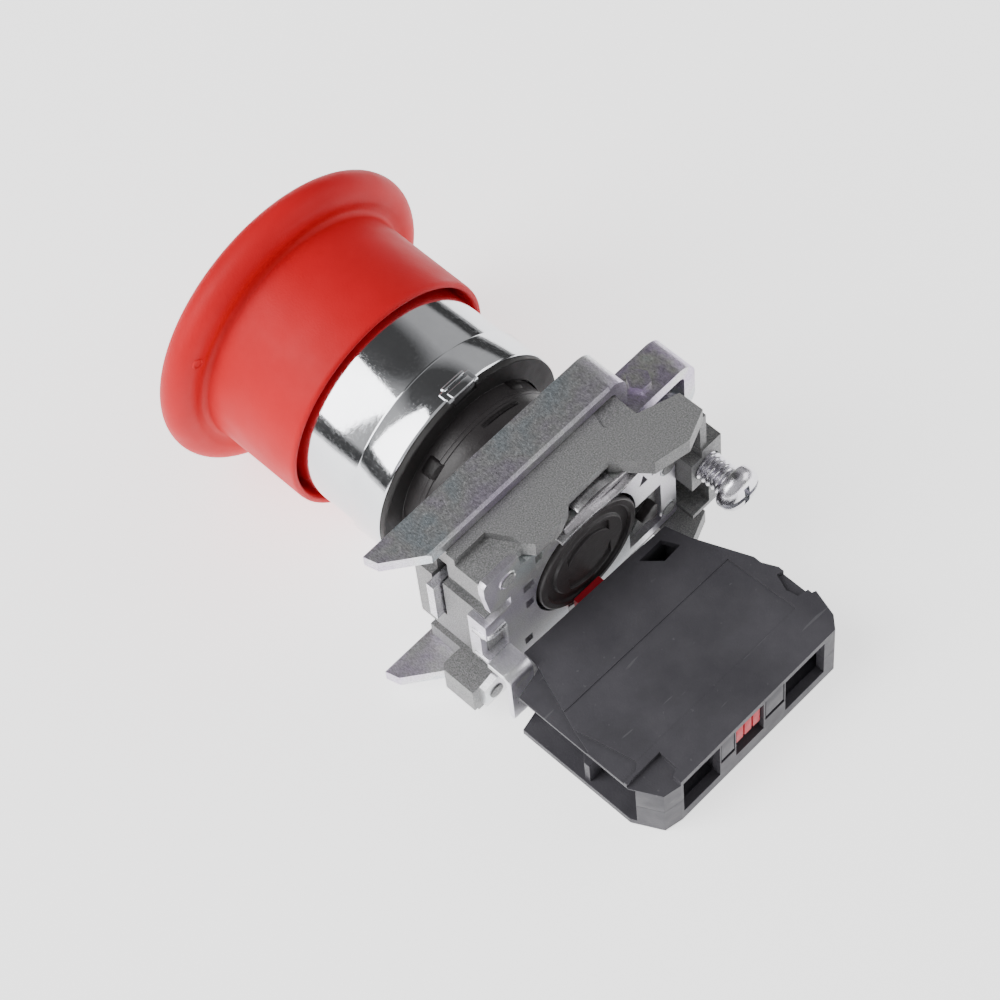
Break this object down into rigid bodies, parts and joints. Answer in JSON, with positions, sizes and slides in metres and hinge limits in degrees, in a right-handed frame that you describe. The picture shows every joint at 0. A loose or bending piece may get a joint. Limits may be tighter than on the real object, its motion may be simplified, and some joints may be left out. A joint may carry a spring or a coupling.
{
  "type": "emergency stop button",
  "caption": "Panel-mounted mushroom-head emergency stop button with a chromed bezel, a screw-clamped metal collar and a contact block.",
  "frame": {"origin": "centre of the panel hole on the panel's front face, where the gasket's rear face seats", "axes": "+Y along the button's axis, into the panel; +X towards the pointed ends of the clamp fork; +Z towards the side that faces up as the button lies"},
  "size_m": [0.0474, 0.0777, 0.04],
  "materials": {
    "red": "satin moulded",
    "stem_plastic": "smooth",
    "spring_steel": "drawn wire and stamped strip",
    "chrome": "polished plating",
    "rubber": "matte",
    "black_plastic": "moulded",
    "white_plastic": "moulded",
    "zinc_casting": "sandy as-cast zinc alloy",
    "zinc_plate": "blue passivated zinc plating",
    "block_plastic": "fine grained moulding",
    "plunger_plastic": "smooth",
    "brass": "stamped"
  },
  "bodies": {
    "base": {"bezel": "chrome", "gasket": "rubber", "barrel": "black_plastic", "cam_sleeve": "white_plastic", "retaining_ring": "spring_steel", "collar_body": "zinc_casting", "rear_plate": "zinc_plate", "lock_spring": "spring_steel", "block_clip": "zinc_plate", "block_cover": "block_plastic", "block_base": "block_plastic", "fixed_contact_a": "brass", "fixed_contact_b": "brass", "plunger_spring": "spring_steel", "return_spring": "spring_steel"},
    "carriage": {"actuator_plate": "black_plastic"},
    "button": {"mushroom_cap": "red", "push_stem": "stem_plastic", "stem_circlip": "spring_steel", "latch_spring": "spring_steel"},
    "pin_a": {"latch_pin_a": "spring_steel"},
    "pin_b": {"latch_pin_b": "spring_steel"},
    "fork": {"clamp_fork": "zinc_plate"},
    "screw": {"clamp_screw": "zinc_plate"},
    "lock": {"lock_ring": "zinc_plate"},
    "plunger": {"contact_plunger": "plunger_plastic", "contact_bridge": "brass", "contact_spring": "spring_steel"},
    "saddle_a": {"saddle_a": "zinc_plate"},
    "saddle_b": {"saddle_b": "zinc_plate"},
    "term_screw_a": {"terminal_screw_a": "zinc_plate"},
    "term_screw_b": {"terminal_screw_b": "zinc_plate"}
  },
  "joints": [
    {"name": "button_travel", "type": "slide", "parent": "base", "child": "carriage", "axis": [0, -1, 0], "range_m": [0, 0.0045], "deforming": ["return_spring", "plunger_spring"]},
    {"name": "button_turn", "type": "hinge", "parent": "carriage", "child": "button", "pos_m": [0, 0, 0], "axis": [0, 1, 0], "range_deg": [0, 45], "stiffness_Nm_per_rad": 0.03},
    {"name": "latch_pin_a_slide", "type": "slide", "parent": "button", "child": "pin_a", "axis": [-1, 0, 0], "range_m": [0, 0.0009], "deforming": ["latch_spring"]},
    {"name": "latch_pin_b_slide", "type": "slide", "parent": "button", "child": "pin_b", "axis": [1, 0, 0], "range_m": [0, 0.0009]},
    {"name": "plunger_slide", "type": "slide", "parent": "base", "child": "plunger", "axis": [0, -1, 0], "range_m": [0, 0.0045]},
    {"name": "fork_slide", "type": "slide", "parent": "base", "child": "fork", "axis": [0, -1, 0], "range_m": [0, 0.0036]},
    {"name": "clamp_screw_turn", "type": "hinge", "parent": "fork", "child": "screw", "pos_m": [-0.0176, 0.02, 0], "axis": [0, -1, 0], "range_deg": [0, 1851.5]},
    {"name": "lock_turn", "type": "hinge", "parent": "base", "child": "lock", "pos_m": [0, 0.0088, 0], "axis": [0, -1, 0], "range_deg": [0, 10]},
    {"name": "saddle_a_slide", "type": "slide", "parent": "base", "child": "saddle_a", "axis": [0, 1, 0], "range_m": [0, 0.0012]},
    {"name": "terminal_screw_a_turn", "type": "hinge", "parent": "saddle_a", "child": "term_screw_a", "pos_m": [-0.0081, 0.038, -0.0099], "axis": [0, 1, 0], "range_deg": [0, 720]},
    {"name": "saddle_b_slide", "type": "slide", "parent": "base", "child": "saddle_b", "axis": [0, 1, 0], "range_m": [0, 0.0012]},
    {"name": "terminal_screw_b_turn", "type": "hinge", "parent": "saddle_b", "child": "term_screw_b", "pos_m": [0.0092, 0.038, -0.0099], "axis": [0, 1, 0], "range_deg": [0, 720]}
  ],
  "couplings": [
    {"joint": "plunger_slide", "follows": "button_travel", "ratio": 1},
    {"joint": "latch_pin_a_slide", "follows": "button_travel", "ratio": 0.2},
    {"joint": "latch_pin_b_slide", "follows": "button_travel", "ratio": 0.2},
    {"joint": "clamp_screw_turn", "follows": "fork_slide", "rad_per_m": 8976},
    {"joint": "terminal_screw_a_turn", "follows": "saddle_a_slide", "rad_per_m": 10472},
    {"joint": "terminal_screw_b_turn", "follows": "saddle_b_slide", "rad_per_m": 10472}
  ]
}
